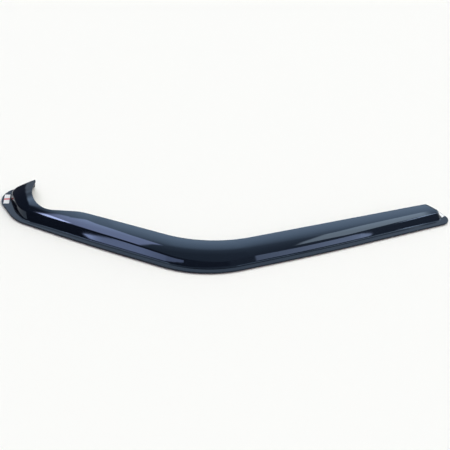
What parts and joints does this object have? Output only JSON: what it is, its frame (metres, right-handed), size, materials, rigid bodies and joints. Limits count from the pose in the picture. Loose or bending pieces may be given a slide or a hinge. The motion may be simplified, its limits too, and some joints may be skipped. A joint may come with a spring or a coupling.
{
  "type": "window rain deflector",
  "caption": "Bent smoke-acrylic visor with a taped flange, a leaning wall and a crowned face that keeps rain out of a car's part-open front window.",
  "frame": {"origin": "on the surface that the taped flange sticks to, under the middle of the visor's box", "axes": "+X along the car from the horn at the pillar to the tail at the roof, +Y towards the window opening, +Z outwards from the door"},
  "size_m": [0.8799, 0.2534, 0.0323],
  "materials": {
    "smoke_acrylic": "polished dark smoke acrylic, near black",
    "foam_tape": "matt dark grey acrylic foam",
    "liner_film": "thin red release film",
    "label_paper": "plain white coated paper"
  },
  "bodies": {
    "root": {"visor_shell": "smoke_acrylic", "roof_tape": "foam_tape", "pillar_tape": "foam_tape", "roof_liner": "liner_film", "pillar_liner": "liner_film", "front_label": "label_paper", "rear_label": "label_paper"}
  },
  "joints": []
}
